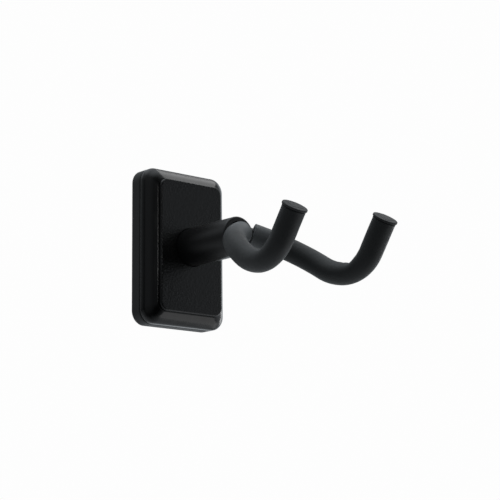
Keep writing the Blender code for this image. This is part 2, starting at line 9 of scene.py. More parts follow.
import bmesh
import bpy
import numpy as np
from mathutils import Matrix, Vector, noise


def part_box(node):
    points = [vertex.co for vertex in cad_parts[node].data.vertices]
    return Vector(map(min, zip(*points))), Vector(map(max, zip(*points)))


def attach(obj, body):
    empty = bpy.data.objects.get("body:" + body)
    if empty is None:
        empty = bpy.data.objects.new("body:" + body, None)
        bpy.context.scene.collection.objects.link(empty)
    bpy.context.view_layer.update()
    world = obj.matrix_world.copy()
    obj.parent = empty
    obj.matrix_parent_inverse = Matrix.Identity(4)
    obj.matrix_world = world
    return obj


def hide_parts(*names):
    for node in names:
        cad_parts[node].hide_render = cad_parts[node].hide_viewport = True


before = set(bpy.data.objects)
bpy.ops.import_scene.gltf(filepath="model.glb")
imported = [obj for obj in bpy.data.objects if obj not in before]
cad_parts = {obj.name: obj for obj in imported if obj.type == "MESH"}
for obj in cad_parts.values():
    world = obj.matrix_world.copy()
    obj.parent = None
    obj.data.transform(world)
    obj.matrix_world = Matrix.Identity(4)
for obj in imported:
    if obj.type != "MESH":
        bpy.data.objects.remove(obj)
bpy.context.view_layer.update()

# ---- sizes the moulded plate, the post and the yoke share with the CAD ------------------------------
CORNER_RADIUS = 0.0090
CORNER_TIGHTEN = 0.45
SMALLEST_CORNER = 0.0012
BEVEL_INSET = 0.0073
FRAME_WALL = 0.0024
FRAME_LEDGE_WIDTH = 0.0106
FRAME_LEDGE_THICKNESS = 0.0020
COVER_WALL = 0.0019
COVER_LIP_WALL = 0.0013
COVER_SHOULDER_RADIUS = 0.0026
BEVEL_CROWN = 0.00080
BEVEL_DEPTH = 0.0056
PEG_RADIUS = 0.0015
PEG_SIDE_MARGIN = 0.0060
PEG_END_MARGIN = 0.0070
PANEL_EDGE_RADIUS = 0.0015
BEVEL_CROWN_RADIUS = 0.0100
BORE_FACE_START = 0.04  # a bore's outline comes in along the face from here, and this point is dropped
REST_GAP = 0.0003
SLIDE_GAP = 0.0005
HOLE_GAP = 0.0004
WELD_LEG = 0.0028
POST_WALL = 0.0031
POST_EDGE_RADIUS = 0.0018
ROD_RADIUS = 0.0040
ROD_END_CHAMFER = 0.0005
SLEEVE_RADIUS = 0.0072
SLEEVE_NEST = 0.0027
YOKE_APEX_LIFT = 0.0015
YOKE_APEX_BEND = 0.0070
YOKE_PITCH = math.radians(33.5)
ARM_START_ANGLE = math.radians(33.7)
ARM_END_ANGLE = math.radians(81.8)
ARM_STRAIGHT = 0.0068
ARM_BEND = 0.0584
TIP_SWEEP_BEND = 0.0345  # the tip starts to rise in a wide bend, then turns up in a tighter one
TIP_SWEEP_TURN = math.radians(27.0)
TIP_BEND = 0.0237
TIP_BEND_TURN = math.radians(62.2)
TIP_STRAIGHT = {"left": 0.0175, "right": 0.0204}
CAP_STEM_LENGTH = 0.0085
CAP_STEM_GAP = 0.0004
CAP_RIM = 0.0005
CAP_THICKNESS = 0.0017
STUD_RADIUS = 0.0040
STUD_THREAD_PITCH = 0.00125
STUD_THREAD_DEPTH = 0.00062
STUD_COLLAR_THICKNESS = 0.0014
NUT_PER_STUD = 3.25  # across the nut's flats, for each unit of the stud's radius
NUT_COLLAR_WALL = 0.0012
NUT_COLLAR_DEPTH = 0.0020
WALL_SCREW_RADIUS = 0.0023
WALL_SCREW_POINT = 0.0055
WALL_SCREW_PITCH = 0.0021
WALL_SCREW_THREAD_DEPTH = 0.00075
WALL_SCREW_HEAD_HEIGHT = 0.0028
WALL_SCREW_PLAIN = 0.0065  # the plain shank under the head
FRAME_SCREW_RADIUS = 0.0014
FRAME_SCREW_HEAD_HEIGHT = 0.0016

CORNER_STEPS = 14
LONG_SIDE_STEPS = 18
SHORT_SIDE_STEPS = 12
ROUND_STEPS = 96


def reach_of(node):
    """(nearest, furthest) distance of a CAD node out from the wall."""
    low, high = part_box(node)
    return -high.y, -low.y


def middle_of(node):
    low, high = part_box(node)
    return (low + high) / 2


def half_width(node):
    low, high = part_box(node)
    return (high.x - low.x) / 2


PLATE_HALF_WIDTH = half_width("back_frame")
PLATE_HALF_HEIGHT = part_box("back_frame")[1].z
FRAME_FRONT = reach_of("back_frame")[1]
LEDGE_BACK = reach_of("wall_plate")[1] + REST_GAP
LEDGE_FRONT = LEDGE_BACK + FRAME_LEDGE_THICKNESS
COVER_FRONT = reach_of("cover_shell")[1]
COVER_BACK = FRAME_FRONT + REST_GAP
COVER_SIDE_FRONT = COVER_FRONT - BEVEL_DEPTH
PANEL_BACK = COVER_FRONT + REST_GAP
PANEL_FRONT = reach_of("front_panel")[1]
POST_BACK, POST_REACH = reach_of("post_tube")
POST_RADIUS = half_width("post_tube") - WELD_LEG
POST_BORE = POST_RADIUS - POST_WALL
YOKE_APEX_REACH = POST_REACH + SLEEVE_RADIUS - SLEEVE_NEST
SLEEVE_START = SLEEVE_RADIUS * math.tan(ARM_START_ANGLE) + REST_GAP


# ---- shader nodes -----------------------------------------------------------------------------------
class Value:
    """A number carried by a node's socket; arithmetic on it adds Math nodes."""

    def __init__(self, recipe, socket):
        self.recipe = recipe
        self.socket = socket

    def _math(self, operation, first, second):
        settings = {"operation": operation}
        return self.recipe.value("ShaderNodeMath", settings, {"Value": first, "Value_001": second})

    def __add__(self, other):
        return self._math("ADD", self, other)

    def __sub__(self, other):
        return self._math("SUBTRACT", self, other)

    def __rsub__(self, other):
        return self._math("SUBTRACT", other, self)

    def __mul__(self, other):
        return self._math("MULTIPLY", self, other)

    __radd__ = __add__
    __rmul__ = __mul__


class Recipe:
    """Adds nodes to a node tree."""

    def __init__(self, tree):
        self.tree = tree
        tree.nodes.clear()

    def node(self, kind, settings=None, sockets=None):
        """One node: its settings first, then a value or a link for each named socket."""
        made = self.tree.nodes.new(kind)
        for name, setting in (settings or {}).items():
            if name == "stops":
                self.set_stops(made.color_ramp, setting)
            else:
                setattr(made, name, setting)
        for name, given in (sockets or {}).items():
            socket = self.socket_named(made, name)
            if isinstance(given, Value):
                self.tree.links.new(given.socket, socket)
            elif isinstance(given, bpy.types.NodeSocket):
                self.tree.links.new(given, socket)
            else:
                socket.default_value = given
        return made

    def socket_named(self, node, name):
        for socket in node.inputs:
            if socket.enabled and name in (socket.identifier, socket.name):
                return socket
        raise KeyError(f"{node.bl_idname} has no socket {name}")

    def set_stops(self, ramp, stops):
        while len(ramp.elements) < len(stops):
            ramp.elements.new(0.5)
        for element, (place, level) in zip(ramp.elements, stops):
            element.position = place
            element.color = (level, level, level, 1.0)

    def value(self, kind, settings=None, sockets=None, output=0):
        return Value(self, self.node(kind, settings, sockets).outputs[output])

    def place(self):
        return self.node("ShaderNodeTexCoord").outputs["Object"]

    def stretched(self, scale):
        """The place on the piece, stretched along its three directions."""
        return self.node(
            "ShaderNodeMapping", {"vector_type": "POINT"}, {"Vector": self.place(), "Scale": scale}
        ).outputs["Vector"]

    def noise(self, scale, detail=3.0, rough=0.5, vector=None):
        """Soft noise of this many waves to the metre."""
        sockets = {"Scale": scale, "Detail": detail, "Roughness": rough}
        sockets["Vector"] = vector or self.place()
        return self.value("ShaderNodeTexNoise", {"noise_dimensions": "3D"}, sockets)

    def cells(self, scale, feature="F1", output="Distance", vector=None):
        sockets = {"Scale": scale, "Vector": vector or self.place()}
        made = self.node("ShaderNodeTexVoronoi", {"feature": feature}, sockets)
        return Value(self, made.outputs[output])

    def levels(self, value, stops):
        """The value put through a ramp of (place, level) stops."""
        return self.value("ShaderNodeValToRGB", {"stops": stops}, {"Fac": value})

    def edges(self, low, high):
        """1 on edges that stand proud, where handling polishes them, and 0 on flats and in hollows."""
        made = self.node("ShaderNodeNewGeometry")
        return self.levels(Value(self, made.outputs["Pointiness"]), [(low, 0.0), (high, 1.0)])

    def blend(self, first, second, factor):
        sockets = {"Factor": factor, "A": first, "B": second}
        made = self.node("ShaderNodeMix", {"data_type": "RGBA"}, sockets)
        return made.outputs["Result_Color"] if "Result_Color" in made.outputs else made.outputs[2]

    def bump(self, height, distance, strength=1.0, under=None):
        sockets = {"Height": height, "Distance": distance, "Strength": strength}
        if under is not None:
            sockets["Normal"] = under
        return self.node("ShaderNodeBump", None, sockets).outputs["Normal"]


def grey(level, warmth=0.0):
    """A near-neutral colour, a little warm or a little cool."""
    return (level * (1 + warmth), level, level * (1 - warmth), 1.0)


def new_finish(name, build):
    """A material whose Principled shader takes what build(recipe) returns: socket names to values."""
    material = bpy.data.materials.new(name)
    material.use_nodes = True
    recipe = Recipe(material.node_tree)
    shader = recipe.node("ShaderNodeBsdfPrincipled", None, build(recipe))
    recipe.node("ShaderNodeOutputMaterial", None, {"Surface": shader.outputs["BSDF"]})
    return material


def frame_plastic(r):
    """Moulded plastic with a dull spark-eroded surface, rubbed a little smoother at its edges."""
    grain = r.noise(2600, 5, 0.62)
    blotch = r.noise(55, 3)
    rubbed = r.edges(0.53, 0.60)
    dark = r.blend(grey(0.009, -0.03), grey(0.013, -0.03), blotch)
    return {
        "Base Color": r.blend(dark, grey(0.030), rubbed * 0.4),
        "Roughness": 0.44 + 0.10 * grain + 0.08 * blotch - 0.10 * rubbed,
        "Normal": r.bump(grain, 0.000018),
        "IOR": 1.48,
    }


def cover_plastic(r):
    """Smooth moulded plastic, with faint flow waves, fine wiping scratches and a few specks of dust."""
    wave = r.noise(38, 2)
    smudge = r.levels(r.noise(62, 5, 0.6), [(0.42, 0.0), (0.68, 1.0)])
    scratch = r.levels(r.noise(420, 2, 0.5, r.stretched((3.0, 1.0, 0.06))), [(0.60, 0.0), (0.72, 1.0)])
    speck = r.levels(r.cells(420), [(0.05, 1.0), (0.11, 0.0)])
    rubbed = r.edges(0.54, 0.62)
    dark = r.blend(grey(0.0035, -0.02), grey(0.0050, -0.02), wave)
    dusty = r.blend(dark, grey(0.035), speck * 0.30 + rubbed * 0.15)
    return {
        "Base Color": dusty,
        "Roughness": 0.17 + 0.07 * smudge + 0.07 * scratch + 0.04 * wave,
        "Normal": r.bump(wave + 0.008 * scratch + 0.004 * r.noise(1500, 2), 0.00010),
        "IOR": 1.50,
    }


def panel_plastic(r):
    """Satin moulded plastic with a fine leathery grain."""
    grain = r.levels(r.cells(1500, "DISTANCE_TO_EDGE"), [(0.0, 0.0), (0.35, 1.0)])
    fine = r.noise(4200, 3, 0.6)
    blotch = r.noise(48, 3)
    rubbed = r.edges(0.54, 0.62)
    coarse = r.levels(r.noise(900, 3, 0.6), [(0.36, 0.0), (0.64, 1.0)])
    dark = r.blend(grey(0.0020), grey(0.0062), blotch * 0.4 + coarse * 0.6)
    return {
        "Base Color": r.blend(dark, grey(0.030), rubbed * 0.25),
        "Roughness": 0.11 + 0.05 * fine + 0.07 * blotch + 0.10 * coarse,
        "Normal": r.bump(0.3 * grain + 0.2 * fine + 1.0 * coarse, 0.000070),
        "IOR": 1.50,
    }


# Painted highlight: the foam is painted palest, and made smoothest, round this place at the root of
# the left sleeve, standing for light that falls there.
PAINTED_LIGHT_PLACE = (-0.004, -0.076, 0.004)


def foam(r):
    """Closed-cell rubber foam: dull charcoal, finely pored, mottled, with a thin moulding skin."""
    pore = r.levels(r.cells(1300), [(0.10, 0.0), (0.34, 1.0)])
    sparse = r.levels(r.noise(330, 2), [(0.50, 0.0), (0.64, 1.0)])
    grain = r.noise(3600, 4, 0.65)
    mottle = r.noise(95, 4, 0.55)
    scuff = r.levels(r.noise(60, 6, 0.7), [(0.60, 0.0), (0.78, 1.0)])
    ends = {"Vector": r.place(), "Vector_001": PAINTED_LIGHT_PLACE}
    away = r.value("ShaderNodeVectorMath", {"operation": "DISTANCE"}, ends, "Value")
    # Painted highlight mask: 1 round the left sleeve's root, fading to 0 further off.
    painted_light_patch = r.levels(away * 10 + 0.10 * mottle, [(0.10, 1.0), (0.36, 0.0)])
    skin = r.blend((0.011, 0.0124, 0.0129, 1.0), (0.019, 0.0209, 0.0214, 1.0), mottle)
    # Painted shade: the colour is darkened in the pores, where shade falls in the pits.
    pitted = r.blend((0.006, 0.007, 0.007, 1.0), skin, 1 - (1 - pore) * (0.35 + 0.5 * sparse))
    pits = pore * (0.3 + 0.7 * sparse)
    return {
        # The pale colour round the left sleeve's root is a painted highlight; the scuff noise mixed with
        # it is wear.
        "Base Color": r.blend(pitted, (0.120, 0.129, 0.133, 1.0), painted_light_patch * 0.90 + scuff * 0.08),
        "Roughness": 0.47 + 0.14 * grain + 0.06 * mottle - 0.08 * painted_light_patch,
        "Normal": r.bump(0.7 * pits + 0.4 * grain, 0.00007),
        "Sheen Weight": 0.04,
        "Sheen Roughness": 0.45,
        "Sheen Tint": (0.80, 0.84, 0.86, 1.0),
        "IOR": 1.50,
    }


def cap_rubber(r):
    """Soft plastic of the push-in caps, a shade lighter than the foam, with a worn rim."""
    grain = r.noise(2200, 4, 0.6)
    blotch = r.noise(160, 3)
    rubbed = r.edges(0.52, 0.60)
    dark = r.blend(grey(0.018, -0.03), grey(0.028, -0.03), blotch)
    return {
        "Base Color": r.blend(dark, grey(0.090, -0.02), rubbed * 0.40),
        "Roughness": 0.50 + 0.14 * grain + 0.06 * blotch,
        "Normal": r.bump(grain, 0.00004),
        "IOR": 1.48,
    }


def nylon(r):
    """Off-white bearing nylon with faint turning lines and a trace of grease."""
    lines = r.noise(1400, 2, 0.5, r.stretched((0.1, 4.0, 0.1)))
    stain = r.levels(r.noise(240, 4), [(0.50, 0.0), (0.72, 1.0)])
    return {
        "Base Color": r.blend((0.68, 0.66, 0.59, 1.0), (0.42, 0.38, 0.30, 1.0), stain * 0.5),
        "Roughness": 0.38 + 0.12 * lines,
        "Normal": r.bump(lines, 0.00002),
        "Subsurface Weight": 0.08,
        "Subsurface Scale": 0.001,
    }


def black_steel(r):
    """Steel under baked black powder coat: an even orange peel, a little polished by handling."""
    peel = r.noise(640, 3, 0.45)
    fine = r.noise(3000, 2, 0.5)
    blotch = r.noise(40, 3)
    rubbed = r.edges(0.54, 0.63)
    dark = r.blend(grey(0.0045, 0.01), grey(0.0065, 0.01), blotch)
    return {
        "Base Color": r.blend(dark, grey(0.030), rubbed * 0.25),
        "Roughness": 0.30 + 0.06 * fine + 0.06 * blotch - 0.04 * rubbed,
        "Normal": r.bump(peel + 0.10 * fine, 0.00002),
        "IOR": 1.50,
    }


def zinc_steel(r):
    """Bright zinc plating: spangled, finely brushed, dulled in patches and darker in the hollows."""
    spangle = r.cells(520, "F1", "Color")
    patch = r.noise(130, 5, 0.65)
    brushed = r.noise(1500, 2, 0.5, r.stretched((0.25, 1.0, 3.0)))
    tarnish = r.levels(patch, [(0.48, 0.0), (0.72, 1.0)])
    rubbed = r.edges(0.53, 0.60)
    bright = r.blend((0.55, 0.56, 0.57, 1.0), (0.67, 0.67, 0.66, 1.0), spangle)
    dulled = r.blend(bright, (0.38, 0.37, 0.34, 1.0), tarnish * 0.55)
    return {
        "Base Color": r.blend(dulled, (0.78, 0.78, 0.77, 1.0), rubbed * 0.5),
        "Roughness": 0.27 + 0.16 * tarnish + 0.10 * brushed - 0.05 * rubbed,
        "Metallic": 1.0 - 0.15 * tarnish,
        "Normal": r.bump(brushed + 0.3 * patch, 0.000025),
    }


FINISHES = {
    build.__name__: new_finish(build.__name__, build)
    for build in (
        frame_plastic,
        cover_plastic,
        panel_plastic,
        foam,
        cap_rubber,
        nylon,
        black_steel,
        zinc_steel,
    )
}


# ---- mesh shapes ------------------------------------------------------------------------------------
def eased(corners, closed=False, steps=4):
    """An outline of (across, along, rounding) corners, each corner made a short arc with a point
    held on the flat at either side of it, so that flats shade flat."""
    spots = [np.array(corner[:2], float) for corner in corners]
    made = []
    for number, (spot, corner) in enumerate(zip(spots, corners)):
        end = not closed and number in (0, len(corners) - 1)
        if end or len(corner) < 3 or corner[2] == 0.0:
            made.append(spot)
            continue
        before = spots[number - 1] - spot
        after = spots[(number + 1) % len(spots)] - spot
        shorter = min(np.linalg.norm(before), np.linalg.norm(after))
        run = min(corner[2], 0.42 * shorter)
        before = before / np.linalg.norm(before) * run
        after = after / np.linalg.norm(after) * run
        made.append(spot + 1.15 * before)
        for step in range(steps + 1):
            t = step / steps
            made.append(spot + (1 - t) ** 2 * before + t**2 * after)
        made.append(spot + 1.15 * after)
    return made


def add_mesh(name, points, faces, sharp=40.0):
    """A mesh object from points and faces, its doubled points merged and its faces turned outwards."""
    bm = bmesh.new()
    verts = [bm.verts.new(point) for point in points]
    for face in faces:
        bm.faces.new([verts[corner] for corner in face])
    bmesh.ops.remove_doubles(bm, verts=bm.verts, dist=0.000004)
    bmesh.ops.recalc_face_normals(bm, faces=bm.faces)
    mesh = bpy.data.meshes.new(name)
    bm.to_mesh(mesh)
    bm.free()
    mesh.shade_smooth()
    mesh.set_sharp_from_angle(angle=math.radians(sharp))
    made = bpy.data.objects.new(name, mesh)
    bpy.context.scene.collection.objects.link(made)
    return made


def skinned(name, rings, joined=False, sharp=40.0):
    """Rings of points skinned one to the next. A joined skin closes on its first ring; an open one has
    a face over each end."""
    rings = np.asarray(rings, float)
    count, around = rings.shape[:2]
    index = np.arange(count * around).reshape(count, around)
    faces = []
    for ring in range(count if joined else count - 1):
        near = index[ring]
        far = index[(ring + 1) % count]
        for corner in range(around):
            faces.append((near[corner - 1], near[corner], far[corner], far[corner - 1]))
    if not joined:
        faces.append(tuple(index[0]))
        faces.append(tuple(index[-1]))
    return add_mesh(name, rings.reshape(-1, 3), faces, sharp)


def turned(name, corners, steps=ROUND_STEPS, centre=(0.0, 0.0), joined=False, shape=None, sharp=40.0):
    """A body turned about a line out from the wall, from (radius, reach, rounding) corners. shape may
    alter each point, given its angle, radius and reach."""
    rings = []
    for radius, reach in eased(corners, joined):
        ring = []
        for step in range(steps):
            angle = 2 * math.pi * step / steps
            at_radius, at_reach = shape(angle, radius, reach) if shape else (radius, reach)
            x = centre[0] + at_radius * math.cos(angle)
            z = centre[1] + at_radius * math.sin(angle)
            ring.append((x, -at_reach, z))
        rings.append(ring)
    return skinned(name, rings, joined, sharp)


def plate_outline(inset):
    """(x, z) points round the plate's rounded rectangle, this far in from its outside."""
    wide = PLATE_HALF_WIDTH - inset
    tall = PLATE_HALF_HEIGHT - inset
    radius = max(CORNER_RADIUS - CORNER_TIGHTEN * inset, SMALLEST_CORNER)
    points = []
    for quarter, (side_x, side_z) in enumerate(((1, 1), (-1, 1), (-1, -1), (1, -1))):
        centre = np.array([side_x * (wide - radius), side_z * (tall - radius)])
        for step in range(CORNER_STEPS + 1):
            angle = math.radians(90 * (quarter + step / CORNER_STEPS))
            points.append(centre + radius * np.array([math.cos(angle), math.sin(angle)]))
        along = SHORT_SIDE_STEPS if quarter % 2 == 0 else LONG_SIDE_STEPS
        turn = math.radians(90 * (quarter + 1))
        onward = np.array([-math.sin(turn), math.cos(turn)])
        length = 2 * (wide - radius) if quarter % 2 == 0 else 2 * (tall - radius)
        for step in range(1, along):
            points.append(points[-1] + onward * length / along)
    return np.array(points)


def plate_ring(inset, reach):
    return [(x, -reach, z) for x, z in plate_outline(inset)]


def bore_ring(radius, reach, beside):
    """A circle round the post with a point towards each point of the plate's outline beside it."""
    ring = []
    for x, z in plate_outline(beside):
        angle = math.atan2(z, x)
        ring.append((radius * math.cos(angle), -reach, radius * math.sin(angle)))
    return ring


def carve(piece, cutter, operation="DIFFERENCE"):
    """Cuts or joins one mesh with another for good, and takes the other away."""
    boolean = piece.modifiers.new(cutter.name, "BOOLEAN")
    boolean.operation = operation
    boolean.solver = "EXACT"
    boolean.object = cutter
    graph = bpy.context.evaluated_depsgraph_get()
    mesh = bpy.data.meshes.new_from_object(piece.evaluated_get(graph))
    piece.modifiers.clear()
    piece.data = mesh
    bpy.data.objects.remove(cutter, do_unlink=True)
    mesh.shade_smooth()
    mesh.set_sharp_from_angle(angle=math.radians(40))


def drill(piece, radius, back, front, centre):
    past = 0.002
    corners = [(radius, back - past), (radius, front + past)]
    carve(piece, turned("drill", corners, 32, centre))


def fit(piece, body, finish, *nodes):
    """Gives a piece its material and slot, sets it on its moving body and in place of its CAD nodes."""
    piece.data.materials.clear()
    piece.data.materials.append(FINISHES[finish])
    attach(piece, body)
    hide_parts(*nodes)
    return piece


# ---- the moulded plate ------------------------------------------------------------------------------
def screw_centres():
    return {node: middle_of(node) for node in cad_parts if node.startswith("frame_screw")}


def back_frame():
    inside = FRAME_WALL + FRAME_LEDGE_WIDTH
    levels = [
        (0.0, 0.0, 0.0003),
        (0.0, FRAME_FRONT, 0.0008),
        (FRAME_WALL, FRAME_FRONT, 0.0002),
        (FRAME_WALL, LEDGE_FRONT, 0.0003),
        (inside, LEDGE_FRONT, 0.0003),
        (inside, LEDGE_BACK, 0.0003),
        (FRAME_WALL, LEDGE_BACK, 0.0002),
        (FRAME_WALL, 0.0, 0.0002),
    ]
    rings = [plate_ring(inset, reach) for inset, reach in eased(levels, True)]
    moulding = skinned("moulded_back_frame", rings, joined=True)
    for centre in screw_centres().values():
        drill(moulding, FRAME_SCREW_RADIUS + HOLE_GAP, LEDGE_BACK, LEDGE_FRONT, (centre.x, centre.z))
    fit(moulding, "wall_side", "frame_plastic", "back_frame")


def peg_centres():
    peg_x = PLATE_HALF_WIDTH - BEVEL_INSET - PEG_SIDE_MARGIN
    peg_z = PLATE_HALF_HEIGHT - BEVEL_INSET - PEG_END_MARGIN
    return [(x * peg_x, z * peg_z) for x in (-1, 1) for z in (-1, 1)]


def cover_shell():
    lip_outside = FRAME_WALL + REST_GAP
    lip_inside = lip_outside + COVER_LIP_WALL
    lip_back = reach_of("cover_shell")[0]
    inner_front = COVER_FRONT - COVER_WALL
    bore = POST_RADIUS + SLIDE_GAP
    outside = [
        (lip_outside, lip_back, 0.0003),
        (lip_outside, COVER_BACK, 0.0),
        (0.0, COVER_BACK, 0.0008),
        (0.0, COVER_SIDE_FRONT, COVER_SHOULDER_RADIUS),
        (BEVEL_INSET / 2, COVER_SIDE_FRONT + BEVEL_DEPTH / 2 + BEVEL_CROWN, BEVEL_CROWN_RADIUS),
        (BEVEL_INSET, COVER_FRONT, 0.0005),
        (BEVEL_INSET + COVER_WALL, COVER_FRONT, 0.0),
    ]
    inside = [
        (BEVEL_INSET + COVER_WALL, inner_front, 0.0008),
        (lip_inside, COVER_SIDE_FRONT - COVER_WALL / 2, 0.0010),
        (lip_inside, lip_back, 0.0003),
    ]
    outer = eased([(lip_inside, lip_back)] + outside)[1:]
    inner = eased(inside + [(lip_outside, lip_back)])[:-1]
    beside = BEVEL_INSET + COVER_WALL
    rings = [plate_ring(inset, reach) for inset, reach in outer]
    through = [(BORE_FACE_START, COVER_FRONT), (bore, COVER_FRONT, 0.0003), (bore, inner_front)]
    rings += [bore_ring(radius, reach, beside) for radius, reach in eased(through)[1:]]
    rings += [plate_ring(inset, reach) for inset, reach in inner]
    shell = skinned("moulded_cover", rings, joined=True)
    for centre in peg_centres():
        drill(shell, PEG_RADIUS + HOLE_GAP, inner_front, COVER_FRONT, centre)
    fit(shell, "cover", "cover_plastic", "cover_shell")


def front_panel():
    edge = BEVEL_INSET + REST_GAP
    far_in = edge + 0.004
    bore = POST_RADIUS + SLIDE_GAP / 2
    outside = [(far_in, PANEL_BACK), (edge, PANEL_BACK, 0.0002), (edge, PANEL_FRONT, PANEL_EDGE_RADIUS)]
    outside.append((far_in, PANEL_FRONT))
    through = [(BORE_FACE_START, PANEL_FRONT), (bore, PANEL_FRONT, 0.0002)]
    through += [(bore, PANEL_BACK, 0.0002), (BORE_FACE_START, PANEL_BACK)]
    rings = [plate_ring(inset, reach) for inset, reach in eased(outside)]
    rings += [bore_ring(radius, reach, far_in) for radius, reach in eased(through)[1:-1]]
    panel = skinned("raised_front_panel", rings, joined=True)
    peg_back = reach_of("front_panel")[0]
    for centre in peg_centres():
        corners = [(PEG_RADIUS - 0.0004, peg_back), (PEG_RADIUS, peg_back + 0.0006)]
        corners.append((PEG_RADIUS, PANEL_BACK + 0.0005))
        carve(panel, turned("peg", corners, 24, centre), "UNION")
    fit(panel, "cover", "panel_plastic", "front_panel")


# ---- post and pivot ---------------------------------------------------------------------------------
def post_tube():
    weld_top = POST_BACK + WELD_LEG

    def weld(angle, radius, reach):
        """Ripples the weld bead round the post's foot."""
        if radius <= POST_RADIUS + 0.00005 or reach > weld_top:
            return radius, reach
        ripple = 0.5 + 0.5 * math.cos(34 * angle + 2.0 * math.sin(3 * angle))
        return radius - 0.00035 * ripple * (radius - POST_RADIUS) / WELD_LEG, reach

    bead = []
    for step in range(9):
        t = step / 8
        bulge = 0.00045 * math.sin(math.pi * t)
        bead.append((POST_RADIUS + WELD_LEG * t + bulge, weld_top - WELD_LEG * t + bulge))
    corners = [(POST_BORE, POST_BACK), (POST_BORE, POST_REACH, 0.0004)]
    corners += [(POST_RADIUS, POST_REACH, POST_EDGE_RADIUS), *bead]
    tube = turned("post_tube_with_weld", corners, 192, joined=True, shape=weld, sharp=50)
    fit(tube, "wall_side", "black_steel", "post_tube")


def arm_line(side, tip_straight, fineness=1):
    """The arm's centre line with, at each point, the direction towards the inside of the V, the
    direction out of the yoke's plane, and the distance along it from the apex."""
    across = np.array([float(side), 0.0, 0.0])
    forward = np.array([0.0, -math.cos(YOKE_PITCH), -math.sin(YOKE_PITCH)])
    upward = np.array([0.0, -math.sin(YOKE_PITCH), math.cos(YOKE_PITCH)])
    place = np.array([0.0, -YOKE_APEX_REACH, YOKE_APEX_LIFT])
    stations = []
    travelled = 0.0

    def note(inner, outer):
        stations.append((place.copy(), inner, outer, travelled))

    def go(direction, length):
        nonlocal place, travelled
        place = place + direction * length
        travelled += length

    def level(angle):
        onward = math.cos(angle) * across + math.sin(angle) * forward
        inner = -math.sin(angle) * across + math.cos(angle) * forward
        return onward, inner

    onward, inner = level(ARM_START_ANGLE)
    note(inner, upward)
    for _ in range(10 * fineness):
        go(onward, ARM_STRAIGHT / (10 * fineness))
        note(inner, upward)
    steps = 48 * fineness
    turn = (ARM_END_ANGLE - ARM_START_ANGLE) / steps
    for step in range(steps):
        go(level(ARM_START_ANGLE + turn * (step + 0.5))[0], ARM_BEND * turn)
        note(level(ARM_START_ANGLE + turn * (step + 1))[1], upward)
    last, inner = level(ARM_END_ANGLE)
    turned = 0.0
    for bend, whole_turn, steps in ((TIP_SWEEP_BEND, TIP_SWEEP_TURN, 15), (TIP_BEND, TIP_BEND_TURN, 30)):
        turn = whole_turn / (steps * fineness)
        for _ in range(steps * fineness):
            middle = turned + turn / 2
            go(math.cos(middle) * last + math.sin(middle) * upward, bend * turn)
            turned += turn
            note(inner, math.cos(turned) * upward - math.sin(turned) * last)
    tip = math.cos(turned) * last + math.sin(turned) * upward
    outer = math.cos(turned) * upward - math.sin(turned) * last
    for _ in range(20 * fineness):
        go(tip, tip_straight / (20 * fineness))
        note(inner, outer)
    return stations


def station_at(stations, travelled):
    """The centre line's place and directions at a distance along it."""
    marks = [station[3] for station in stations]
    upper = int(np.clip(np.searchsorted(marks, travelled), 1, len(marks) - 1))
    near, far = stations[upper - 1], stations[upper]
    share = (travelled - near[3]) / (far[3] - near[3])
    return tuple(near[part] + (far[part] - near[part]) * share for part in range(3))


def ring_about(place, across, up, radius, around):
    """A ring of points about a place. radius is a number, or a function of the angle from the
    direction across towards the direction up."""
    points = []
    for step in range(around):
        angle = 2 * math.pi * step / around
        size = radius(angle) if callable(radius) else radius
        points.append(place + size * (math.cos(angle) * across + math.sin(angle) * up))
    return points


def ring_on(stations, travelled, radius):
    """A ring round the arm, its angle measured from the inside of the V towards the side that the
    tip turns to."""
    place, inner, outer = station_at(stations, travelled)
    return ring_about(place, inner, outer, radius, 64)


ARMS = {
    "left": arm_line(-1, TIP_STRAIGHT["left"]),
    "right": arm_line(1, TIP_STRAIGHT["right"]),
}
TIP_SWEEP = TIP_SWEEP_BEND * TIP_SWEEP_TURN
TIP_START = ARM_STRAIGHT + ARM_BEND * (ARM_END_ANGLE - ARM_START_ANGLE)
CREASE_SHARE = 0.36  # how far round the tighter bend the foam creases
CREASE_PLACE = TIP_START + TIP_SWEEP + TIP_BEND * TIP_BEND_TURN * CREASE_SHARE
CREASE_DEPTH = 0.0024
CREASE_LENGTH = 0.0058
SLEEVE_SHRINK = 0.00008  # how far the foam's mean skin lies inside its nominal radius
SLEEVE_EDGE = 0.0005
SLEEVE_RING_STEP = 0.0007
SLEEVE_BORE_STEP = 0.0030


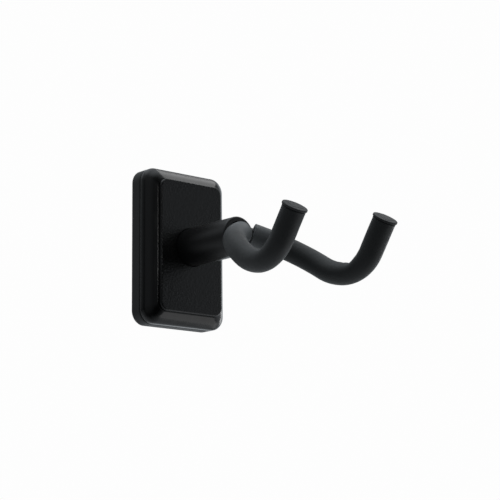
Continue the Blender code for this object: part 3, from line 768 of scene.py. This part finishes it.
def sleeve(side):
    """The foam sleeve: it thins and creases on the inside of the tip's bend, and its cut ends are soft."""
    stations = ARMS[side]
    length = stations[-1][3]
    seed = Vector((3.1, 7.7, 1.3)) if side == "left" else Vector((9.2, 2.4, 5.6))
    bore = ROD_RADIUS + REST_GAP

    def outside(travelled):
        def radius(angle):
            from_crease = travelled - CREASE_PLACE
            facing = max(math.sin(angle), 0.0)
            crease = CREASE_DEPTH * math.exp(-abs(from_crease) / CREASE_LENGTH) * facing**2
            fold = 0.00012 * math.cos(from_crease / 0.0031 * math.pi) * facing**4
            fold *= math.exp(-((from_crease / 0.014) ** 2))
            spot = seed + Vector((math.cos(angle), math.sin(angle), travelled * 70))
            uneven = 0.00007 * noise.noise(spot * 1.3) + 0.00003 * noise.noise(spot * 4.1)
            return SLEEVE_RADIUS - SLEEVE_SHRINK - crease + fold + uneven

        return radius

    rings = []
    for radius in (bore + 0.0003, bore + 0.0014):
        rings.append(ring_on(stations, SLEEVE_START, radius))
    for step in range(5):
        turn = math.radians(90 * step / 4)
        along = SLEEVE_START + SLEEVE_EDGE * (1 - math.cos(turn))
        rings.append(ring_on(stations, along, SLEEVE_RADIUS - SLEEVE_EDGE * (1 - math.sin(turn))))
    travelled = SLEEVE_START + SLEEVE_EDGE * 1.3
    while travelled < length - SLEEVE_EDGE * 1.2:
        rings.append(ring_on(stations, travelled, outside(travelled)))
        travelled += SLEEVE_RING_STEP
    for step in range(5):
        turn = math.radians(90 * step / 4)
        along = length - SLEEVE_EDGE * (1 - math.sin(turn))
        rings.append(ring_on(stations, along, SLEEVE_RADIUS - SLEEVE_EDGE * (1 - math.cos(turn))))
    for radius in (bore + 0.0014, bore + 0.0003):
        rings.append(ring_on(stations, length, radius))
    travelled = length - 0.0003
    while travelled > SLEEVE_START + 0.0003:
        rings.append(ring_on(stations, travelled, bore))
        travelled -= SLEEVE_BORE_STEP
    rings.append(ring_on(stations, SLEEVE_START + 0.0003, bore))
    pad = skinned(side + "_foam_sleeve", rings, joined=True, sharp=60)
    fit(pad, "yoke", "foam", side + "_sleeve")


def apex_bend(steps=24):
    """The rounded V that joins the two arms' rods, from the left to the right, with its directions."""
    reach = YOKE_APEX_BEND * math.tan(ARM_START_ANGLE)
    start = station_at(ARMS["left"], reach)[0]
    end = station_at(ARMS["right"], reach)[0]
    apex = ARMS["left"][0][0]
    upward = ARMS["left"][0][2]
    inward = (start + end) / 2 - apex
    inward = inward / np.linalg.norm(inward)
    sideways = (end - start) / np.linalg.norm(end - start)
    centre = apex + inward * YOKE_APEX_BEND / math.cos(ARM_START_ANGLE)
    bend = []
    for step in range(1, steps):
        angle = ARM_START_ANGLE * (2 * step / steps - 1)
        away = math.sin(angle) * sideways - math.cos(angle) * inward
        bend.append((centre + YOKE_APEX_BEND * away, -away, upward))
    return reach, bend


def yoke_rod():
    """The bent steel rod inside the sleeves, from one cap's stem to the other's."""
    reach, bend = apex_bend()
    centres = []
    for side in ("left", "right"):
        stations = ARMS[side]
        stop = stations[-1][3] - CAP_STEM_LENGTH - REST_GAP
        marks = np.linspace(reach, stop, 110)
        centres.append([station_at(stations, mark) for mark in marks])
    line = centres[0][::-1] + bend + centres[1]
    rings = []
    for number, (place, inner, outer) in enumerate(line):
        at_end = number in (0, len(line) - 1)
        size = ROD_RADIUS - (ROD_END_CHAMFER if at_end else 0.0)
        rings.append(ring_about(place, inner, outer, size, 40))
    rod = skinned("bent_yoke_rod", rings, sharp=50)
    fit(rod, "yoke", "black_steel", "yoke_rod")


def tooth(phase, sharpness=1.0):
    """A thread's height, 0 at its root and 1 at its crest, at a phase that repeats each turn."""
    share = phase % 1.0
    return min(1.0, sharpness * (1 - abs(2 * share - 1)) * 1.15)


def pivot_stud():
    back, front = reach_of("pivot_stud")
    nut_front = reach_of("lock_nut")[1]
    collar_back = reach_of("pivot_bush")[1] + REST_GAP
    collar_front = collar_back + STUD_COLLAR_THICKNESS
    collar = half_width("pivot_stud")
    thread_top = nut_front + 0.0012
    thread = []
    reach = back + 0.0009
    while reach < thread_top:
        thread.append((STUD_RADIUS, reach))
        reach += STUD_THREAD_PITCH / 6

    def cut_thread(angle, radius, reach):
        if reach > thread_top + 0.0001 or reach < back + 0.0008 or radius < STUD_RADIUS - 0.00005:
            return radius, reach
        fade = min(1.0, (thread_top - reach) / 0.0006)
        crest = tooth(reach / STUD_THREAD_PITCH - angle / (2 * math.pi))
        depth = STUD_THREAD_DEPTH * max(fade, 0.0) * (1 - crest)
        return radius - depth, reach

    corners = [(STUD_RADIUS - 0.0009, back), (STUD_RADIUS - 0.0002, back + 0.0007), *thread]
    corners += [(STUD_RADIUS, thread_top + 0.0002), (STUD_RADIUS, collar_back, 0.0002)]
    corners += [(collar, collar_back, 0.0003), (collar, collar_front, 0.0003)]
    corners += [(STUD_RADIUS, collar_front, 0.0002), (STUD_RADIUS, front)]
    stud = turned("threaded_pivot_stud", corners, 72, shape=cut_thread, sharp=55)
    fit(stud, "yoke", "zinc_steel", "pivot_stud")


def stud_weld():
    """The weld bead where the stud meets the back of the bent rod."""
    rings = []
    middle = YOKE_APEX_REACH + (YOKE_APEX_BEND / math.cos(ARM_START_ANGLE) - YOKE_APEX_BEND)
    across = ROD_RADIUS + 0.0001
    rounds = 120
    for step in range(rounds):
        angle = 2 * math.pi * step / rounds
        x = across * math.cos(angle)
        z = across * math.sin(angle) * 0.80
        sag = math.sqrt(max(ROD_RADIUS**2 - z**2, 0.0))
        place = np.array([x, -(middle - sag + 0.16 * abs(x)), z])
        outward = np.array([math.cos(angle), 0.0, math.sin(angle)])
        back = np.array([0.0, 1.0, 0.0])
        size = 0.00078 + 0.00010 * math.cos(26 * angle)
        rings.append(ring_about(place, outward, back, size, 14))
    bead = skinned("stud_weld_bead", rings, joined=True, sharp=80)
    bead.data.materials.append(FINISHES["black_steel"])
    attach(bead, "yoke")


def lock_nut():
    back, front = reach_of("lock_nut")
    across_flats = NUT_PER_STUD * STUD_RADIUS
    bore = STUD_RADIUS + REST_GAP
    collar = bore + NUT_COLLAR_WALL
    hex_back = back + NUT_COLLAR_DEPTH

    def hexagon(angle, radius, reach):
        if radius <= collar + 0.0001:
            return radius, reach
        turn = (angle + math.pi / 6) % (math.pi / 3) - math.pi / 6
        return min(radius, across_flats / 2 / math.cos(turn)), reach

    corner = across_flats / math.sqrt(3)
    flat = across_flats / 2
    corners = [(bore, back), (collar, back, 0.0004), (collar, hex_back)]
    corners += [(flat - 0.0002, hex_back), (corner, hex_back + 0.0008), (corner, front - 0.0008)]
    corners += [(flat - 0.0002, front), (bore, front, 0.0003)]
    nut = turned("lock_nut_with_collar", corners, 144, joined=True, shape=hexagon, sharp=30)
    fit(nut, "yoke", "zinc_steel", "lock_nut")


# ---- screws -----------------------------------------------------------------------------------------
def cross_recess(piece, centre, top, size, depth):
    """Cuts a tapered cross into a screw's head."""
    arm = 0.26 * size
    outline = []
    for quarter in range(4):
        for x, z in ((arm, arm), (size, arm), (size, -arm)):
            turn = math.radians(-90 * quarter)
            across = x * math.cos(turn) - z * math.sin(turn)
            outline.append((across, x * math.sin(turn) + z * math.cos(turn)))
    rings = []
    for share, reach in ((1.15, top + 0.001), (0.45, top - depth)):
        rings.append([(centre[0] + x * share, -reach, centre[1] + z * share) for x, z in outline])
    carve(piece, skinned("cross", rings))


def wall_screw(node):
    point, top = reach_of(node)
    centre = middle_of(node)
    head = half_width(node)
    seat = top - WALL_SCREW_HEAD_HEIGHT
    start = point + WALL_SCREW_POINT
    corners = [(0.0002, point)]
    reach = point + 0.0004
    step = WALL_SCREW_PITCH / 8
    while reach < seat - WALL_SCREW_PLAIN:
        taper = min(1.0, (reach - point) / (start - point))
        corners.append((max(WALL_SCREW_RADIUS * taper, 0.0003), reach))
        reach += step
    thread_top = reach

    def cut_thread(angle, radius, reach):
        if reach > thread_top or radius < 0.00025:
            return radius, reach
        taper = min(1.0, (reach - point) / (start - point))
        fade = min(1.0, (thread_top - reach) / 0.002)
        crest = tooth(reach / WALL_SCREW_PITCH - angle / (2 * math.pi)) ** 2.2
        return radius - WALL_SCREW_THREAD_DEPTH * taper * fade * (1 - crest), reach

    corners += [(WALL_SCREW_RADIUS, thread_top + 0.0003), (WALL_SCREW_RADIUS, seat, 0.0002)]
    corners += [(head, seat, 0.0002)]
    for number in range(9):
        turn = math.radians(90 * (1 - number / 8))
        corners.append((max(head * math.sin(turn), 0.0003), seat + 0.0008 + 0.0020 * math.cos(turn)))
    screw = turned(node + "_threaded", corners, 40, (centre.x, centre.z), shape=cut_thread, sharp=50)
    cross_recess(screw, (centre.x, centre.z), top, 0.0024, 0.0017)
    fit(screw, "wall_side", "zinc_steel", node)


def frame_screw(node):
    back, top = reach_of(node)
    centre = middle_of(node)
    head = half_width(node)
    seat = top - FRAME_SCREW_HEAD_HEIGHT
    corners = [(FRAME_SCREW_RADIUS - 0.0003, back), (FRAME_SCREW_RADIUS, back + 0.0004)]
    corners += [(FRAME_SCREW_RADIUS, seat, 0.0002), (head, seat, 0.0002), (head, seat + 0.0006, 0.0003)]
    corners += [(head - 0.0007, top, 0.0004), (0.0004, top)]
    screw = turned(node + "_pan_head", corners, 40, (centre.x, centre.z), sharp=50)
    cross_recess(screw, (centre.x, centre.z), top, 0.0015, 0.0009)
    fit(screw, "wall_side", "zinc_steel", node)


# ---- end caps ---------------------------------------------------------------------------------------
def end_cap(side):
    """A push-in cap: a thin head with a soft rim and a shallow raised square on it, on a ribbed stem."""
    stations = ARMS[side]
    place, inner, outer = (np.array(part) for part in station_at(stations, stations[-1][3]))
    outward = np.cross(inner, outer)
    if np.dot(outward, stations[-1][0] - stations[-3][0]) < 0:
        outward = -outward
    head = SLEEVE_RADIUS + CAP_RIM
    stem = ROD_RADIUS + REST_GAP - CAP_STEM_GAP
    top = REST_GAP + CAP_THICKNESS
    around = 120

    def raised(x, z):
        """Height of the shallow raised square and of the groove round it."""
        half = 0.0040
        corner = 0.0016
        qx = max(abs(x) - half + corner, 0.0)
        qz = max(abs(z) - half + corner, 0.0)
        inside = min(max(abs(x), abs(z)) - half + corner, 0.0)
        off = math.hypot(qx, qz) + inside - corner
        step = 1 / (1 + math.exp(off / 0.00009))
        groove = math.exp(-(((off - 0.00045) / 0.00022) ** 2))
        return 0.00013 * step - 0.00012 * groove

    levels = []
    for number in range(45):
        radius = 0.0001 + (head - 0.0007) * number / 44
        levels.append((radius, top - 0.0002 * (radius / head) ** 2 - 0.00013, True))
    rim = [(head - 0.0008, top - 0.00030), (head, top - 0.0004, 0.0005)]
    rim += [(head, REST_GAP, 0.0003), (stem, REST_GAP)]
    for radius, height in eased(rim)[1:]:
        levels.append((radius, height, False))
    for number in range(1, 5):
        low = REST_GAP - 0.0016 * number
        levels += [(stem, low + 0.0004, False), (stem - 0.0002, low + 0.0002, False), (stem, low, False)]
    levels += [(stem, 0.0008 - CAP_STEM_LENGTH, False), (stem - 0.0008, -CAP_STEM_LENGTH, False)]
    rings = []
    for radius, height, shaped in levels:
        ring = []
        for step in range(around):
            angle = 2 * math.pi * step / around
            x = radius * math.cos(angle)
            z = radius * math.sin(angle)
            lift = raised(x, z) if shaped else 0.0
            ring.append(place + x * inner + z * outer + (height + lift) * outward)
        rings.append(ring)
    cap = skinned(side + "_push_in_cap", rings, sharp=60)
    fit(cap, "yoke", "cap_rubber", side + "_end_cap")


# ---- CAD pieces that are shown as they are ------------------------------------------------------------
def keep(node, finish, edge):
    """A CAD piece with its own finish and softly broken edges."""
    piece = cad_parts[node]
    piece.data.materials.clear()
    piece.data.materials.append(FINISHES[finish])
    weld = piece.modifiers.new("joined corners", "WELD")
    weld.merge_threshold = 0.00001
    bevel = piece.modifiers.new("broken edges", "BEVEL")
    bevel.width = edge
    bevel.segments = 2
    bevel.limit_method = "ANGLE"
    bevel.angle_limit = math.radians(40)
    piece.data.shade_smooth()


def build_pieces():
    back_frame()
    cover_shell()
    front_panel()
    post_tube()
    for side in ("left", "right"):
        sleeve(side)
        end_cap(side)
    yoke_rod()
    pivot_stud()
    stud_weld()
    lock_nut()
    for node in sorted(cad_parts):
        if node.startswith("wall_screw"):
            wall_screw(node)
        if node.startswith("frame_screw"):
            frame_screw(node)
    keep("wall_plate", "zinc_steel", 0.0003)
    keep("wall_washer_upper", "zinc_steel", 0.00015)
    keep("wall_washer_lower", "zinc_steel", 0.00015)
    keep("flat_washer", "zinc_steel", 0.00015)
    keep("spring_washer", "zinc_steel", 0.00012)
    keep("front_plug", "black_steel", 0.0003)
    keep("pivot_bush", "nylon", 0.00015)


# ---- studio -----------------------------------------------------------------------------------------
CAMERA_TURN = math.radians(40.99)
CAMERA_TILT = math.radians(-11.46)
CAMERA_ROLL = math.radians(-0.60)
CAMERA_DISTANCE = 1.0435
CAMERA_ACROSS = 0.05029
CAMERA_UP = 0.001635
CAMERA_LENS = 116.57
CAMERA_SENSOR = 36.0


def add_camera():
    turn_cosine, turn_sine = math.cos(CAMERA_TURN), math.sin(CAMERA_TURN)
    tilt_cosine, tilt_sine = math.cos(CAMERA_TILT), math.sin(CAMERA_TILT)
    right = Vector((turn_cosine, -turn_sine, 0.0))
    up = Vector((tilt_sine * turn_sine, tilt_sine * turn_cosine, tilt_cosine))
    back = Vector((-turn_sine * tilt_cosine, -turn_cosine * tilt_cosine, tilt_sine))
    rolled_right = math.cos(CAMERA_ROLL) * right + math.sin(CAMERA_ROLL) * up
    rolled_up = -math.sin(CAMERA_ROLL) * right + math.cos(CAMERA_ROLL) * up
    camera = bpy.data.objects.new("camera", bpy.data.cameras.new("camera"))
    bpy.context.scene.collection.objects.link(camera)
    camera.data.lens = CAMERA_LENS
    camera.data.sensor_width = CAMERA_SENSOR
    camera.data.clip_start = 0.02
    place = back * CAMERA_DISTANCE + rolled_right * CAMERA_ACROSS + rolled_up * CAMERA_UP
    turned_axes = Matrix((rolled_right, rolled_up, back)).transposed()
    camera.matrix_world = Matrix.Translation(place) @ turned_axes.to_4x4()
    bpy.context.scene.camera = camera


def add_softbox(name, place, target, size, power):
    light = bpy.data.lights.new(name, "AREA")
    light.shape = "RECTANGLE"
    light.size, light.size_y = size
    light.energy = power
    lamp = bpy.data.objects.new(name, light)
    bpy.context.scene.collection.objects.link(lamp)
    aim = Vector(target) - Vector(place)
    lamp.location = place
    lamp.rotation_euler = aim.to_track_quat("-Z", "Y").to_euler()


# The room's brightness by direction: azimuth, elevation and strength. Azimuth 0 is straight out from
# the wall and 90 is towards +X. The strengths began as a least-squares lighting fit, with one then
# changed and all rounded to 0.05.
SURROUND = (
    (0, -88, 0.35),
    (60, -35, 0.20),
    (120, -35, 0.45),
    (180, -35, 0.35),
    (240, -35, 0.25),
    (300, -35, 0.05),
    (45, 8, 0.25),
    (90, 8, 0.40),
    (135, 8, 0.60),
    (180, 8, 0.30),
    (315, 8, 0.10),
    (180, 45, 0.30),
    (240, 45, 0.30),
    (300, 45, 0.20),
    (0, 88, 1.25),
)
SURROUND_FADE = [(0.86, 0.0), (0.99, 1.0)]
DAYLIGHT = (0.94, 1.0, 1.05, 1.0)
BACKGROUND = 0.985
FLOOR_LEVEL = -0.46
FLOOR_RINGS = (0.01, 0.6, 1.6, 3.0)
FLOOR_THICKNESS = 0.02
SOFTBOX_AIM = (0.0, -0.06, 0.0)
# Soft boxes: name, azimuth, elevation, distance, size, radiance.
SOFTBOXES = (
    ("high softbox", 88, 51, 1.3, (0.80, 0.46), 1.75),
    ("low softbox", 62, -40, 1.3, (0.95, 0.50), 0.85),
    ("right softbox", 98, -2, 1.3, (0.20, 0.50), 4.0),
    ("edge softbox", 352, 10, 1.3, (0.11, 0.22), 6.0),
)


def direction_to(azimuth, elevation):
    turn, rise = math.radians(azimuth), math.radians(elevation)
    flat = math.cos(rise)
    return Vector((math.sin(turn) * flat, -math.cos(turn) * flat, math.sin(rise)))


def add_floor():
    """A pale round table top, well under the object."""
    rings = []
    for size in FLOOR_RINGS:
        ring = []
        for step in range(48):
            angle = 2 * math.pi * step / 48
            ring.append((size * math.cos(angle), size * math.sin(angle), FLOOR_LEVEL))
        rings.append(ring)
    under = [[(x, y, z - FLOOR_THICKNESS) for x, y, z in ring] for ring in rings[::-1]]
    floor = skinned("floor", rings + under, joined=True)
    # Light from below comes from the surround, so the top throws no light, reflection or shadow.
    floor.visible_diffuse = False
    floor.visible_glossy = False
    floor.visible_shadow = False

    def pale(r):
        mottle = r.noise(6, 3)
        pale_grey = r.blend(grey(0.80), grey(0.84), mottle)
        return {
            "Base Color": pale_grey,
            "Roughness": 0.7,
            "Emission Color": pale_grey,
            "Emission Strength": 0.35,
        }

    floor.data.materials.append(new_finish("pale_floor", pale))


def add_surround():
    """A room that is bright overhead and behind the object and dim in front, on a plain pale ground."""
    world = bpy.data.worlds.new("studio")
    bpy.context.scene.world = world
    world.use_nodes = True
    r = Recipe(world.node_tree)
    looking = r.node("ShaderNodeTexCoord").outputs["Generated"]
    strength = 0.0
    for azimuth, elevation, level in SURROUND:
        sockets = {"Vector": looking, "Vector_001": direction_to(azimuth, elevation)}
        facing = r.value("ShaderNodeVectorMath", {"operation": "DOT_PRODUCT"}, sockets, "Value")
        strength = level * r.levels(0.5 * facing + 0.5, SURROUND_FADE) + strength
    seen = Value(r, r.node("ShaderNodeLightPath").outputs["Is Camera Ray"])
    white = (1.0, 1.0, 1.0, 1.0)
    lit = r.node("ShaderNodeBackground", None, {"Color": DAYLIGHT, "Strength": strength})
    plain = r.node("ShaderNodeBackground", None, {"Color": white, "Strength": BACKGROUND})
    shown = r.node("ShaderNodeMixShader", None, {"Fac": seen})
    r.tree.links.new(lit.outputs[0], shown.inputs[1])
    r.tree.links.new(plain.outputs[0], shown.inputs[2])
    r.node("ShaderNodeOutputWorld", None, {"Surface": shown.outputs[0]})


def add_studio():
    add_floor()
    add_surround()
    for name, azimuth, elevation, distance, size, radiance in SOFTBOXES:
        target = Vector(SOFTBOX_AIM)
        place = target + distance * direction_to(azimuth, elevation)
        add_softbox(name, place, target, size, radiance * math.pi * size[0] * size[1])
    bpy.context.scene.view_settings.view_transform = "Standard"


build_pieces()
add_camera()
add_studio()
